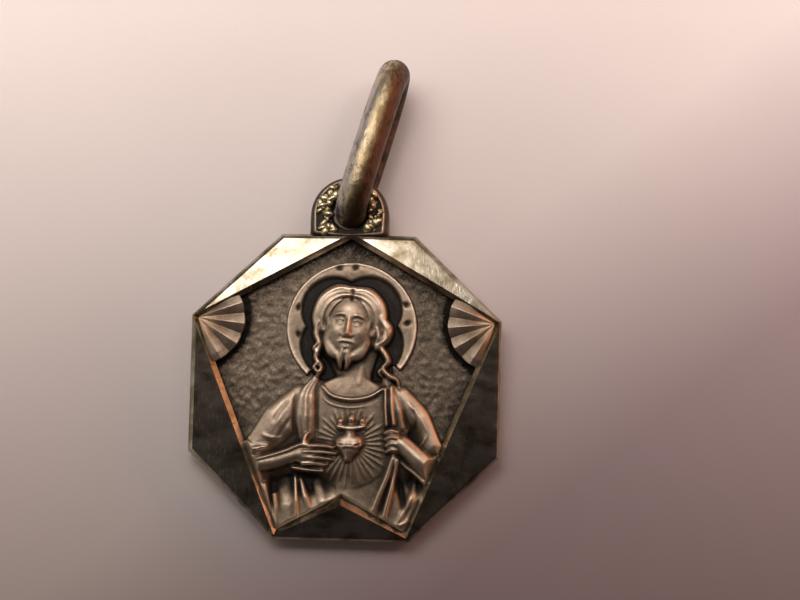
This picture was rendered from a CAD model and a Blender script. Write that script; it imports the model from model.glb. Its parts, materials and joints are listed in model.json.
"""A small devotional medal and its jump ring, dressed for the render.

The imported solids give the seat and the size. Each sub-assembly of the medal is a class with its sizes
in millimetres of the medal's own frame: its middle at the origin, its top along +Y, its face along +Z
and its back at zero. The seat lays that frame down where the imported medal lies.
"""
import json
import logging
import math
from dataclasses import dataclass, field, replace
from enum import Enum
from typing import Iterable, Optional, Sequence, Union

import bmesh
import bpy
import numpy as np
from mathutils import Matrix, Vector


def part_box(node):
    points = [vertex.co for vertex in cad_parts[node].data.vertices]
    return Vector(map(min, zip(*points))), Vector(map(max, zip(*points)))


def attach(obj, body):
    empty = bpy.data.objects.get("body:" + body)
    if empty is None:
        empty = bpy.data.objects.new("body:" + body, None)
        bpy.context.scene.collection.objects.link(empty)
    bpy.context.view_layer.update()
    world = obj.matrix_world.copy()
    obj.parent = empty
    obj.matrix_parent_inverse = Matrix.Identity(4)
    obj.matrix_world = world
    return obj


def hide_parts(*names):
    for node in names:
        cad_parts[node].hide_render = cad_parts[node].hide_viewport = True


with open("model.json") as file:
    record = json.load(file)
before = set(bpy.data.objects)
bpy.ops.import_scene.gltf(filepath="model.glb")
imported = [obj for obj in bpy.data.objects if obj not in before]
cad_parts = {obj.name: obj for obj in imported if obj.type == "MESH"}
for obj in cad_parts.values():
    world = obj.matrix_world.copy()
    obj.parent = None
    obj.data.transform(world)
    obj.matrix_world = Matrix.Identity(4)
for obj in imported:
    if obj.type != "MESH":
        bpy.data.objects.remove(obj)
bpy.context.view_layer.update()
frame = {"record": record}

logging.basicConfig(level=logging.INFO, format="%(name)s: %(message)s")
log = logging.getLogger("medal")

MM = 0.001
TINY = 1e-6
SEAM = 1e-4

Point = tuple[float, float]
Path = Sequence[Point]
Colour = tuple[float, float, float]
Socket = bpy.types.NodeSocket
Feed = Union[Socket, float, Sequence[float]]


class Slot(Enum):
    """The record's material slots."""

    SILVER = "aged_silver"
    WIRE = "worn_wire"


class Node(Enum):
    """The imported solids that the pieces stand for."""

    MEDAL = "medal"
    RING = "jump_ring"


@dataclass(frozen=True)
class Seat:
    """Where the medal lies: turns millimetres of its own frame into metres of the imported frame."""

    to_world: Matrix

    @classmethod
    def of_medal(cls, record: dict) -> "Seat":
        """Reads the seat from the flat back that the record states.

        Args:
            record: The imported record.

        Returns:
            The seat of the medal.
        """
        back = record["mounts"][0]
        down = Vector(back["axis"])
        tilt = math.atan2(down.y, -down.z)
        turned = Matrix.Rotation(tilt, 4, "X") @ Matrix.Scale(MM, 4)
        return cls(Matrix.Translation(Vector(back["pos_m"])) @ turned)


# Finishes


@dataclass(frozen=True)
class Cloud:
    """A cloud pattern on the object.

    Attributes:
        scale: Cells in a millimetre.
        detail: Octaves.
        rough: Weight of the finer octaves.
        stretch: Scale along each axis, to draw the cells out.
        turn: Turn of the pattern about the vertical, in degrees.
        warp: Distortion.
    """

    scale: float
    detail: float = 4.0
    rough: float = 0.5
    stretch: tuple[float, float, float] = (1, 1, 1)
    turn: float = 0.0
    warp: float = 0.0


@dataclass(frozen=True)
class Levels:
    """A range of a value, and what its two ends become. The value is clamped there."""

    low: float
    high: float
    least: float = 0.0
    most: float = 1.0


@dataclass(frozen=True)
class Tooth:
    """A cloud that bends the surface: its depth in millimetres, and the share of it that shows."""

    cloud: Cloud
    depth: float
    strength: float = 1.0
    levels: Optional[Levels] = None


Mottles = Sequence[tuple[Cloud, Levels]]


class Graph:
    """Short calls that build one material's nodes. Patterns are in millimetres of the object."""

    def __init__(self, name: str) -> None:
        """Starts a material with its shader.

        Args:
            name: The material's name.
        """
        self.material = bpy.data.materials.new(name)
        self.material.use_nodes = True
        self.tree = self.material.node_tree
        self.shader = self.tree.nodes["Principled BSDF"]
        where = self.add("TexCoord", {}).outputs["Object"]
        self.place = self.add("Mapping", {"Vector": where, "Scale": (1 / MM, 1 / MM, 1 / MM)}).outputs[0]

    def feed(self, socket: Socket, source: Feed) -> None:
        """Feeds a socket from a node's output, or with a plain number or colour.

        Args:
            socket: The socket.
            source: What it gets.
        """
        if isinstance(source, Socket):
            self.tree.links.new(source, socket)
        elif socket.type == "RGBA":
            socket.default_value = (*source, 1)
        else:
            socket.default_value = source

    def add(self, kind: str, inputs: dict[str, Feed]) -> bpy.types.Node:
        """Adds a node.

        Args:
            kind: The node's kind.
            inputs: Its sockets' names, with what each gets.

        Returns:
            The node.
        """
        node = self.tree.nodes.new("ShaderNode" + kind)
        for name, source in inputs.items():
            self.feed(node.inputs[name], source)
        return node

    def noise(self, cloud: Cloud, levels: Optional[Levels] = None) -> Socket:
        """Adds a cloud pattern.

        Args:
            cloud: The cloud.
            levels: The range of it that counts, or nothing for the plain cloud.

        Returns:
            The pattern's value.
        """
        turn = (0, 0, math.radians(cloud.turn))
        place = self.add("Mapping", {"Scale": cloud.stretch, "Rotation": turn, "Vector": self.place})
        node = self.add("TexNoise", {"Scale": cloud.scale, "Detail": cloud.detail, "Roughness": cloud.rough,
                                     "Distortion": cloud.warp, "Vector": place.outputs[0]})
        value = node.outputs["Fac"]
        return value if levels is None else self.levels(value, levels)

    def dot(self, direction: Sequence[float]) -> Socket:
        """Measures how far a point lies along a direction, from its place in millimetres.

        Args:
            direction: The direction. Its length scales the measure.

        Returns:
            The measure.
        """
        node = self.add("VectorMath", {})
        node.operation = "DOT_PRODUCT"
        self.feed(node.inputs[0], self.place)
        self.feed(node.inputs[1], direction)
        return node.outputs["Value"]

    def uneven(self, attribute: str, mottles: Mottles) -> Socket:
        """Reads a value that the mesh carries at its points, and makes it uneven.

        Args:
            attribute: The attribute's name.
            mottles: Clouds to add, each with its levels.

        Returns:
            The value.
        """
        node = self.add("Attribute", {})
        node.attribute_name = attribute
        value = node.outputs["Fac"]
        for cloud, levels in mottles:
            value = self.plus(value, self.noise(cloud, levels))
        return value

    def ramp(self, value: Socket, stops: Sequence[tuple[float, Colour]]) -> Socket:
        """Turns a value into a colour.

        Args:
            value: The value, from 0 to 1.
            stops: Places along the value with their colours.

        Returns:
            The colour.
        """
        node = self.add("ValToRGB", {"Fac": value})
        elements = node.color_ramp.elements
        while len(elements) < len(stops):
            elements.new(0.5)
        for element, (place, colour) in zip(elements, stops):
            element.position = place
            element.color = (*colour, 1)
        return node.outputs["Color"]

    def levels(self, value: Socket, levels: Levels) -> Socket:
        """Maps a range of a value onto another, clamped at both ends.

        Args:
            value: The value.
            levels: The range, and what its ends become.

        Returns:
            The mapped value.
        """
        return self.add("MapRange", {"From Min": levels.low, "From Max": levels.high, "To Min": levels.least,
                                     "To Max": levels.most, "Value": value}).outputs["Result"]

    def plus(self, a: Socket, b: Socket) -> Socket:
        """Adds two values.

        Args:
            a: The first value.
            b: The second value.

        Returns:
            Their sum.
        """
        node = self.add("Math", {})
        node.operation = "ADD"
        self.feed(node.inputs[0], a)
        self.feed(node.inputs[1], b)
        return node.outputs[0]

    def mix(self, share: Socket, a: Feed, b: Feed) -> Socket:
        """Blends two colours.

        Args:
            share: How much of the second colour shows.
            a: The first colour.
            b: The second colour.

        Returns:
            The blend.
        """
        node = self.add("Mix", {"Factor": share})
        node.data_type = "RGBA"
        sockets = [socket for socket in node.inputs if socket.type == "RGBA"]
        for socket, colour in zip(sockets, (a, b)):
            self.feed(socket, colour)
        return next(socket for socket in node.outputs if socket.type == "RGBA")

    def plug(self, socket: str, source: Feed) -> None:
        """Feeds one of the shader's sockets from a node's output, or with a plain value."""
        self.feed(self.shader.inputs[socket], source)

    def roughen(self, teeth: Sequence[Tooth]) -> None:
        """Bends the surface by one tooth after the other.

        Args:
            teeth: The teeth, the widest first.
        """
        normal = None
        for tooth in teeth:
            inputs = {"Height": self.noise(tooth.cloud, tooth.levels), "Distance": tooth.depth * MM,
                      "Strength": tooth.strength}
            if normal is not None:
                inputs["Normal"] = normal
            normal = self.add("Bump", inputs).outputs["Normal"]
        self.plug("Normal", normal)


@dataclass(frozen=True)
class PolishedSilver:
    """The frame's bright-cut facets: mirror-like, a little hazed and spotted."""

    clean: Colour = (0.46, 0.425, 0.35)
    hazed: Colour = (0.17, 0.14, 0.09)
    spot: Colour = (0.08, 0.06, 0.04)
    haze: Cloud = Cloud(0.55, 6, 0.6, warp=0.5)
    haze_roughness: Levels = Levels(0.25, 0.75, 0.2, 0.16)
    spots: Cloud = Cloud(3.2, 5, 0.7)
    spotted: Levels = Levels(0.66, 0.74)
    spot_roughness: Levels = Levels(0, 1, 0, 0.25)
    smudges: Cloud = Cloud(0.8, 5, 0.65, stretch=(1, 2, 1), turn=-30)
    smudge_roughness: Levels = Levels(0.3, 0.8, 0, 0.12)
    teeth: tuple[Tooth, ...] = (
        Tooth(Cloud(0.55, 2), 0.03),
        Tooth(Cloud(3, 2, 0.5, stretch=(14, 0.5, 1), turn=35), 0.004, 0.5, Levels(0.6, 0.75)),
        Tooth(Cloud(9, 3, 0.6), 0.003, 0.4),
    )

    def material(self) -> bpy.types.Material:
        """Builds the finish."""
        graph = Graph("polished_silver")
        haze = graph.noise(self.haze)
        spots = graph.noise(self.spots, self.spotted)
        tone = graph.ramp(haze, [(0.38, self.hazed), (0.58, self.clean)])
        graph.plug("Base Color", graph.mix(spots, tone, self.spot))
        graph.plug("Metallic", 1.0)
        smudges = graph.noise(self.smudges, self.smudge_roughness)
        rough = graph.plus(graph.levels(haze, self.haze_roughness), smudges)
        graph.plug("Roughness", graph.plus(rough, graph.levels(spots, self.spot_roughness)))
        graph.roughen(self.teeth)
        return graph.material


@dataclass(frozen=True)
class RubbedMetal:
    """Metal that is dark in its hollows and rubbed bright on its tops, by the polish that its mesh carries.

    Attributes:
        name: The finish's name.
        tones: Colours from the hollows to the tops, with their places on the scale of polish.
        mottles: What makes the polish uneven.
        metallic: How metallic it is, alike all over or from the hollows to the tops.
        roughness: How rough it is, from the hollows to the tops.
        teeth: What bends its surface.
    """

    name: str
    tones: Sequence[tuple[float, Colour]]
    mottles: Mottles
    metallic: Union[float, Levels]
    roughness: Levels
    teeth: Sequence[Tooth]

    def material(self) -> bpy.types.Material:
        """Builds the finish."""
        graph = Graph(self.name)
        wear = graph.uneven("polish", self.mottles)
        graph.plug("Base Color", graph.ramp(wear, self.tones))
        even = isinstance(self.metallic, float)
        graph.plug("Metallic", self.metallic if even else graph.levels(wear, self.metallic))
        graph.plug("Roughness", graph.levels(wear, self.roughness))
        graph.roughen(self.teeth)
        return graph.material


STRUCK_SILVER = RubbedMetal(
    name="struck_silver",
    tones=[(0.12, (0.008, 0.006, 0.005)), (0.36, (0.1, 0.078, 0.055)), (0.6, (0.38, 0.305, 0.23)),
           (0.86, (0.79, 0.65, 0.51))],
    mottles=[(Cloud(2.6, 5, 0.65), Levels(0.25, 0.75, -0.09, 0.09)),
             (Cloud(14, 3, 0.6), Levels(0.3, 0.7, -0.05, 0.05))],
    metallic=Levels(0.1, 0.45, 0.35, 1.0),
    roughness=Levels(0.2, 0.85, 0.6, 0.4),
    teeth=[Tooth(Cloud(11, 4, 0.65), 0.012), Tooth(Cloud(38, 2, 0.5), 0.004, 0.6)],
)

STIPPLED_GROUND = RubbedMetal(
    name="stippled_ground",
    tones=[(0.05, (0.012, 0.01, 0.008)), (0.45, (0.2, 0.163, 0.123)), (0.8, (0.48, 0.4, 0.32))],
    mottles=[(Cloud(1.4, 5, 0.6), Levels(0.25, 0.75, -0.08, 0.08)),
             (Cloud(9, 3, 0.6), Levels(0.35, 0.65, -0.1, 0.1))],
    metallic=0.9,
    roughness=Levels(0.1, 0.8, 0.62, 0.42),
    teeth=[Tooth(Cloud(6, 2, 0.5, stretch=(1.6, 0.7, 1), turn=25, warp=0.6), 0.014),
           Tooth(Cloud(20, 3, 0.6), 0.004, 0.7)],
)

GOLDEN_GRAIN = RubbedMetal(
    name="golden_grain",
    tones=[(0.15, (0.02, 0.018, 0.01)), (0.4, (0.2, 0.17, 0.09)), (0.75, (0.85, 0.75, 0.5))],
    mottles=[(Cloud(5, 4, 0.7), Levels(0.3, 0.7, -0.2, 0.2))],
    metallic=1.0,
    roughness=Levels(0.2, 0.9, 0.5, 0.24),
    teeth=[Tooth(Cloud(9, 4, 0.65), 0.02)],
)


@dataclass(frozen=True)
class WornWire:
    """The jump ring: wire gone brown, grey on its left flank, golden along the top, with dark stains."""

    grey: Colour = (0.52, 0.49, 0.46)
    golden: Colour = (0.7, 0.59, 0.4)
    brown: Colour = (0.26, 0.19, 0.1)
    rust: Colour = (0.12, 0.07, 0.045)
    stain: Colour = (0.02, 0.015, 0.012)
    patches: Cloud = Cloud(0.8, 6, 0.7, stretch=(1.6, 0.8, 1), turn=-17)
    patched: Levels = Levels(0.3, 0.7, -0.16, 0.16)
    specks: Cloud = Cloud(1.6, 7, 0.78, stretch=(1.5, 0.8, 1), turn=-17)
    specked: Levels = Levels(0.32, 0.68, -0.48, 0.42)
    stained: Levels = Levels(0.15, 0.62)
    metallic: Levels = Levels(0.1, 0.4, 0.6, 1.0)
    roughness: Levels = Levels(0.2, 0.9, 0.55, 0.36)
    teeth: tuple[Tooth, ...] = (
        Tooth(Cloud(1.4, 5, 0.65, stretch=(1.5, 0.8, 1), turn=-17), 0.09),
        Tooth(Cloud(14, 3, 0.6), 0.008, 0.6),
    )

    def material(self) -> bpy.types.Material:
        """Builds the finish."""
        graph = Graph("worn_wire")
        stops = [(0.2, self.grey), (0.36, self.golden), (0.58, self.brown), (0.8, self.rust)]
        tone = graph.ramp(graph.uneven("flank", [(self.patches, self.patched)]), stops)
        wear = graph.uneven("polish", [(self.specks, self.specked)])
        graph.plug("Base Color", graph.mix(graph.levels(wear, self.stained), self.stain, tone))
        graph.plug("Metallic", graph.levels(wear, self.metallic))
        graph.plug("Roughness", graph.levels(wear, self.roughness))
        graph.roughen(self.teeth)
        return graph.material


@dataclass(frozen=True)
class Paper:
    """The sheet under the medal: pale, very slightly warm, with a soft tooth, and dusky at one corner."""

    light: Colour = (0.8, 0.74, 0.74)
    shade: Colour = (0.77, 0.71, 0.71)
    dusk: Colour = (0.46, 0.38, 0.41)
    dusk_bearing: tuple[float, float, float] = (0.045, -0.055, 0)
    dusk_levels: Levels = Levels(0.15, 1.05)
    patches: Cloud = Cloud(0.06, 4)
    roughness: float = 0.9
    tooth: Tooth = Tooth(Cloud(2.2, 5, 0.6), 0.02, 0.5)

    def material(self) -> bpy.types.Material:
        """Builds the finish."""
        graph = Graph("paper")
        tone = graph.ramp(graph.noise(self.patches), [(0.35, self.shade), (0.65, self.light)])
        dusk = graph.levels(graph.dot(self.dusk_bearing), self.dusk_levels)
        graph.plug("Base Color", graph.mix(dusk, tone, self.dusk))
        graph.plug("Roughness", self.roughness)
        graph.roughen([self.tooth])
        return graph.material


# The bench: what every piece goes through once its shape is made


def place_object(name: str, data: bpy.types.ID) -> bpy.types.Object:
    """Makes an object and puts it into the scene.

    Args:
        name: Its name.
        data: Its mesh, curve, light or camera.

    Returns:
        The object.
    """
    made = bpy.data.objects.new(name, data)
    bpy.context.scene.collection.objects.link(made)
    return made


def cast(shape: bmesh.types.BMesh, name: str) -> bpy.types.Object:
    """Makes an object out of a shape.

    Args:
        shape: The shape, which is used up.
        name: The object's name.

    Returns:
        The object.
    """
    mesh = bpy.data.meshes.new(name)
    shape.to_mesh(mesh)
    shape.free()
    return place_object(name, mesh)


@dataclass
class Bench:
    """Turns shaped meshes into named pieces of the medal."""

    seat: Seat

    def set_down(self, shape: bmesh.types.BMesh, name: str, finish: bpy.types.Material, slot: Slot,
                 seated: bool = True, smooth: bool = True) -> bpy.types.Object:
        """Makes one piece out of a shape, in place, riding with the object.

        Args:
            shape: The shape, which is used up.
            name: The piece's name.
            finish: Its material.
            slot: The record's slot that it takes its finish from.
            seated: Whether the shape is in the medal's own frame and still has to be laid down.
            smooth: Whether its faces are shaded round.

        Returns:
            The piece.
        """
        if seated:
            bmesh.ops.transform(shape, matrix=self.seat.to_world, verts=shape.verts)
        for face in shape.faces:
            face.smooth = smooth
        piece = cast(shape, name)
        piece.data.materials.append(finish)
        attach(piece, "root")
        node = Node.RING if slot is Slot.WIRE else Node.MEDAL
        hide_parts(node.value)
        log.info("%s: %d faces", name, len(piece.data.polygons))
        return piece


def start_grid(columns: int, rows: int) -> tuple[bmesh.types.BMesh, bmesh.types.BMLayerItem]:
    """Starts a shape as a square grid from -0.5 to 0.5, whose points can carry their polish.

    Args:
        columns: Faces along X.
        rows: Faces along Y.

    Returns:
        The shape, and the layer that takes the polish.
    """
    shape = bmesh.new()
    layer = shape.verts.layers.float.new("polish")
    bmesh.ops.create_grid(shape, x_segments=columns, y_segments=rows, size=0.5)
    return shape, layer


def open_edges(shape: bmesh.types.BMesh) -> list[bmesh.types.BMEdge]:
    """The edges that only one face has."""
    return [edge for edge in shape.edges if edge.is_boundary]


def wall_down(shape: bmesh.types.BMesh, level: float) -> None:
    """Gives an open sheet straight walls down to a level.

    Args:
        shape: The sheet.
        level: The height of the walls' feet.
    """
    for item in bmesh.ops.extrude_edge_only(shape, edges=open_edges(shape))["geom"]:
        if isinstance(item, bmesh.types.BMVert):
            item.co.z = level


def close_downwards(shape: bmesh.types.BMesh, level: float) -> None:
    """Gives an open sheet sharp-edged walls down to a level, and a floor.

    Args:
        shape: The sheet.
        level: The height of its new underside.
    """
    for edge in open_edges(shape):
        edge.smooth = False
    wall_down(shape, level)
    bmesh.ops.holes_fill(shape, edges=open_edges(shape), sides=0)
    bmesh.ops.recalc_face_normals(shape, faces=shape.faces)


# The relief sheet and the forms that are pressed into it

Part = tuple[slice, slice]
EVERYWHERE: Part = (slice(None), slice(None))
WALL_SLOPE = 9.0
WALL_REACH = 0.2
SWELL_REACH = 2.4
SUNK = -0.3


def soft_maximum(a: np.ndarray, b: np.ndarray, blend: float) -> np.ndarray:
    """The higher of two heights, with a rounded valley where they meet.

    Args:
        a: The heights so far.
        b: The new form's heights.
        blend: How far apart two heights still blend.

    Returns:
        The joined heights.
    """
    share = np.clip(blend - np.abs(a - b), 0, None) / blend
    return np.maximum(a, b) + share * share * blend / 4


def smooth_path(points: Path, steps: int = 12) -> np.ndarray:
    """A smooth line through hand-set points.

    Args:
        points: The points.
        steps: Steps between two of them.

    Returns:
        The line's points.
    """
    knots = np.array(points, float)
    if len(knots) == 2:
        return knots
    knots = np.vstack([2 * knots[0] - knots[1], knots, 2 * knots[-1] - knots[-2]])
    line = []
    for a, b, c, d in zip(knots, knots[1:], knots[2:], knots[3:]):
        for t in np.arange(steps) / steps:
            cubic = (2 * a - 5 * b + 4 * c - d) * t ** 2 + (3 * b - a - 3 * c + d) * t ** 3
            line.append((2 * b + (c - a) * t + cubic) / 2)
    return np.array(line + [knots[-2]])


def along(values: Sequence[float], share: np.ndarray) -> np.ndarray:
    """The value at a share of the way through a short list of evenly spaced ones."""
    return np.interp(share, np.linspace(0, 1, len(values)), values)


def soft_average(heights: np.ndarray, cells: int) -> np.ndarray:
    """A soft average of the heights over a number of cells on each side.

    Args:
        heights: The heights.
        cells: The reach of the average.

    Returns:
        The averaged heights.
    """
    for _ in range(3):
        for axis in (0, 1):
            padding = [(0, 0), (0, 0)]
            padding[axis] = (cells + 1, cells)
            total = np.cumsum(np.pad(heights, padding, mode="edge"), axis=axis)
            count = heights.shape[axis]
            upper = np.take(total, range(2 * cells + 1, 2 * cells + 1 + count), axis=axis)
            lower = np.take(total, range(count), axis=axis)
            heights = (upper - lower) / (2 * cells + 1)
    return heights


def eased(share: np.ndarray) -> np.ndarray:
    """A share held between 0 and 1, and eased at both ends."""
    held = np.clip(share, 0, 1)
    return held * held * (3 - 2 * held)


def rounded(top: "np.ndarray | float", edge: float, swell: np.ndarray) -> np.ndarray:
    """A height that starts at a share of the top at a form's edge and rises with its swell."""
    return top * (edge + (1 - edge) * swell)


def closed_line(points: Sequence[Vector]) -> np.ndarray:
    """A closed line through some points, the first again at the end."""
    return np.array([[*point] for point in [*points, points[0]]])


class ReliefSheet:
    """Heights above the field, in millimetres, on a square grid.

    Its polish starts from an even value. It gains where a point stands clear of the heights close by or
    farther round it, and a little with the height itself.
    """

    close_reach = 0.16
    wide_reach = 0.7
    even_polish = 0.48
    close_gain = 2.4
    wide_gain = 0.6
    height_gain = 0.1

    def __init__(self, left: float, right: float, low: float, high: float, pitch: float) -> None:
        """Lays out the grid, sunk below the field.

        Args:
            left: The grid's left edge.
            right: Its right edge.
            low: Its lower edge.
            high: Its upper edge.
            pitch: The distance between two points.
        """
        self.pitch = pitch
        self.x = np.arange(left, right + pitch / 2, pitch)
        self.y = np.arange(low, high + pitch / 2, pitch)
        self.height = np.full((len(self.y), len(self.x)), SUNK)
        self.grid_x, self.grid_y = np.meshgrid(self.x, self.y)

    def window(self, points: np.ndarray, reach: float) -> Part:
        """The part of the grid within reach of some points.

        Args:
            points: The points.
            reach: How far around them.

        Returns:
            The rows and the columns.
        """
        low = (points.min(0) - reach - (self.x[0], self.y[0])) / self.pitch
        high = (points.max(0) + reach - (self.x[0], self.y[0])) / self.pitch
        columns = slice(max(0, int(low[0])), max(0, int(high[0]) + 2))
        rows = slice(max(0, int(low[1])), max(0, int(high[1]) + 2))
        return rows, columns

    def nearest(self, path: np.ndarray, at: Part = EVERYWHERE) -> tuple[np.ndarray, np.ndarray]:
        """How far the grid's points lie from a line.

        Args:
            path: The line's points.
            at: The part of the grid.

        Returns:
            The distance, negative on the line's right, and the share of its length at its nearest point.
        """
        grid_x, grid_y = self.grid_x[at], self.grid_y[at]
        steps = np.diff(path, axis=0)
        lengths = np.hypot(steps[:, 0], steps[:, 1])
        travelled = np.concatenate([[0], np.cumsum(lengths)])
        best = np.full(grid_x.shape, np.inf)
        share = np.zeros(grid_x.shape)
        side = np.ones(grid_x.shape)
        for start, step, length, before in zip(path, steps, lengths, travelled):
            off_x, off_y = grid_x - start[0], grid_y - start[1]
            t = np.clip((off_x * step[0] + off_y * step[1]) / length ** 2, 0, 1)
            distance = np.hypot(off_x - t * step[0], off_y - t * step[1])
            closer = distance < best
            best = np.where(closer, distance, best)
            share = np.where(closer, (before + t * length) / travelled[-1], share)
            side = np.where(closer, np.sign(off_y * step[0] - off_x * step[1]), side)
        return best * side, share

    def inside(self, outline: np.ndarray, at: Part = EVERYWHERE) -> np.ndarray:
        """Which points of the grid a closed outline holds.

        Args:
            outline: The outline, its first point again at the end.
            at: The part of the grid.

        Returns:
            True at each point inside.
        """
        grid_x, grid_y = self.grid_x[at], self.grid_y[at]
        held = np.zeros(grid_x.shape, bool)
        for (x1, y1), (x2, y2) in zip(outline, outline[1:]):
            if y1 != y2:
                crossing = (x2 - x1) * (grid_y - y1) / (y2 - y1) + x1
                held ^= ((y1 > grid_y) != (y2 > grid_y)) & (grid_x < crossing)
        return held

    def inwards(self, outline: np.ndarray, at: Part = EVERYWHERE) -> np.ndarray:
        """How far inside a closed outline each point lies, negative outside it."""
        distance, _ = self.nearest(outline, at)
        return np.where(self.inside(outline, at), np.abs(distance), -np.abs(distance))

    def raise_to(self, at: Part, heights: np.ndarray, blend: float) -> None:
        """Raises part of the sheet to new heights, blended into what is there."""
        self.height[at] = soft_maximum(self.height[at], heights, blend)

    def polish(self) -> np.ndarray:
        """How rubbed each point is: 0 in deep hollows, 1 on tops that stand clear.

        Returns:
            The polish at each point of the grid.
        """
        shown = np.maximum(self.height, 0)
        close, wide = (shown - soft_average(shown, max(1, round(reach / self.pitch)))
                       for reach in (self.close_reach, self.wide_reach))
        gained = self.close_gain * close + self.wide_gain * wide + self.height_gain * shown
        return self.even_polish + gained

    def shape(self, ground: float, depth: float, low: float = -math.inf, high: float = math.inf,
              tarnish: "np.ndarray | float" = 0.0) -> bmesh.types.BMesh:
        """Makes the sheet's mesh, closed by a floor under the field.

        Args:
            ground: The height of the field.
            depth: How far the closed shape goes below it.
            low: Where the part to make starts along the sheet.
            high: Where it ends.
            tarnish: What is taken from how rubbed each point is.

        Returns:
            The shape, which carries how rubbed it is at its points.
        """
        first, last = np.searchsorted(self.y, low), min(np.searchsorted(self.y, high), len(self.y) - 1)
        columns, rows = len(self.x) - 1, int(last - first)
        shape, layer = start_grid(columns, rows)
        rubbed = self.polish() - tarnish
        for vert in shape.verts:
            i = round((vert.co.x + 0.5) * columns)
            j = first + round((vert.co.y + 0.5) * rows)
            vert[layer] = rubbed[j, i]
            vert.co = (self.x[i], self.y[j], ground + self.height[j, i])
        hidden = ground + SUNK / 2
        sunk = [face for face in shape.faces if all(vert.co.z < hidden for vert in face.verts)]
        bmesh.ops.delete(shape, geom=sunk, context="FACES")
        close_downwards(shape, ground - depth)
        return shape


@dataclass(frozen=True)
class Pose:
    """Where a form that is drawn in the head's own frame goes: moved, tilted, or mirrored first."""

    centre: Point
    tilt: float
    side: int = 1

    def point(self, point: Point) -> Point:
        """Moves one point.

        Args:
            point: The point.

        Returns:
            The moved point.
        """
        cos, sin = math.cos(math.radians(self.tilt)), math.sin(math.radians(self.tilt))
        x, y = self.side * point[0], point[1]
        return self.centre[0] + x * cos - y * sin, self.centre[1] + x * sin + y * cos

    def points(self, path: Path) -> Path:
        """Moves several points."""
        return [self.point(point) for point in path]


@dataclass(frozen=True)
class Form:
    """Something pressed into the sheet."""

    def press(self, sheet: ReliefSheet) -> None:
        """Presses the form into the sheet."""
        raise NotImplementedError

    def posed(self, pose: Pose) -> "Form":
        """The form at another place."""
        raise NotImplementedError


@dataclass(frozen=True)
class Drawn(Form):
    """A form that follows a hand-set line."""

    path: Path

    def posed(self, pose: Pose) -> Form:
        """The form at another place."""
        return replace(self, path=pose.points(self.path))


@dataclass(frozen=True)
class Oval(Form):
    """A form on an oval, with its height, and its turn in degrees."""

    centre: Point
    radii: Point
    height: float
    turn: float = 0.0

    def posed(self, pose: Pose) -> Form:
        """The form at another place."""
        return replace(self, centre=pose.point(self.centre), turn=pose.side * self.turn + pose.tilt)

    def away(self, sheet: ReliefSheet, at: Part) -> np.ndarray:
        """The squared distance from the oval's centre, 1 on the oval itself.

        Args:
            sheet: The sheet.
            at: The part of it to measure on.

        Returns:
            The squared distance at each point.
        """
        cos, sin = math.cos(math.radians(self.turn)), math.sin(math.radians(self.turn))
        off_x, off_y = sheet.grid_x[at] - self.centre[0], sheet.grid_y[at] - self.centre[1]
        across = (off_x * cos + off_y * sin) / self.radii[0]
        upwards = (off_y * cos - off_x * sin) / self.radii[1]
        return across ** 2 + upwards ** 2


@dataclass(frozen=True)
class Limb(Drawn):
    """A rounded stroke along a path: an arm, a finger or a fold."""

    width: Sequence[float]
    top: Sequence[float]
    edge: float = 0.4
    blend: float = 0.06

    def press(self, sheet: ReliefSheet) -> None:
        """Presses the stroke.

        Args:
            sheet: The sheet.
        """
        line = smooth_path(self.path)
        at = sheet.window(line, max(self.width) + WALL_REACH)
        distance, share = sheet.nearest(line, at)
        reach, top = along(self.width, share), along(self.top, share)
        across = distance / reach
        dome = np.sqrt(np.clip(1 - across ** 2, 0, None))
        fall = np.clip(np.abs(distance) - reach, 0, None) * WALL_SLOPE
        heights = rounded(top, self.edge, dome) - fall - self.grooves(across, share)
        sheet.raise_to(at, heights, self.blend)

    def grooves(self, across: np.ndarray, share: np.ndarray) -> "np.ndarray | float":
        """How deep the stroke's face is cut at each point. A plain stroke isn't cut."""
        return 0.0


@dataclass(frozen=True)
class Tress(Limb):
    """A stroke combed into strands: a lock of hair or a gathered fold."""

    strands: float = 3.0
    depth: float = 0.07
    wave: float = 0.25
    half_waves: float = 2.5
    sharpness: float = 1.5

    def grooves(self, across: np.ndarray, share: np.ndarray) -> np.ndarray:
        """Cuts waving grooves along the stroke."""
        phase = across * self.strands / 2 + self.wave * np.sin(self.half_waves * math.pi * share)
        return self.depth * (0.5 - 0.5 * np.cos(2 * math.pi * phase)) ** self.sharpness


@dataclass(frozen=True)
class Dome(Oval):
    """An oval dome: a cheek, a knuckle, a chest."""

    edge: float = 0.3
    blend: float = 0.06

    def press(self, sheet: ReliefSheet) -> None:
        """Presses the dome.

        Args:
            sheet: The sheet.
        """
        at = sheet.window(np.array([self.centre]), max(self.radii) + WALL_REACH)
        away = self.away(sheet, at)
        dome = np.sqrt(np.clip(1 - away, 0, None))
        fall = np.clip(np.sqrt(away) - 1, 0, None) * min(self.radii) * WALL_SLOPE
        sheet.raise_to(at, rounded(self.height, self.edge, dome) - fall, self.blend)


@dataclass(frozen=True)
class Panel(Drawn):
    """An outline filled level, with a rolled edge."""

    roll: float
    top: float
    edge: float = 0.4
    blend: float = 0.06

    def press(self, sheet: ReliefSheet) -> None:
        """Presses the panel.

        Args:
            sheet: The sheet.
        """
        line = smooth_path([*self.path, self.path[0]], steps=8)
        at = sheet.window(line, WALL_REACH)
        inwards = sheet.inwards(line, at)
        rise = np.sqrt(1 - (1 - np.clip(inwards / self.roll, 0, 1)) ** 2)
        fall = np.clip(-inwards, 0, None) * WALL_SLOPE
        sheet.raise_to(at, rounded(self.top, self.edge, rise) - fall, self.blend)


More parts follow.
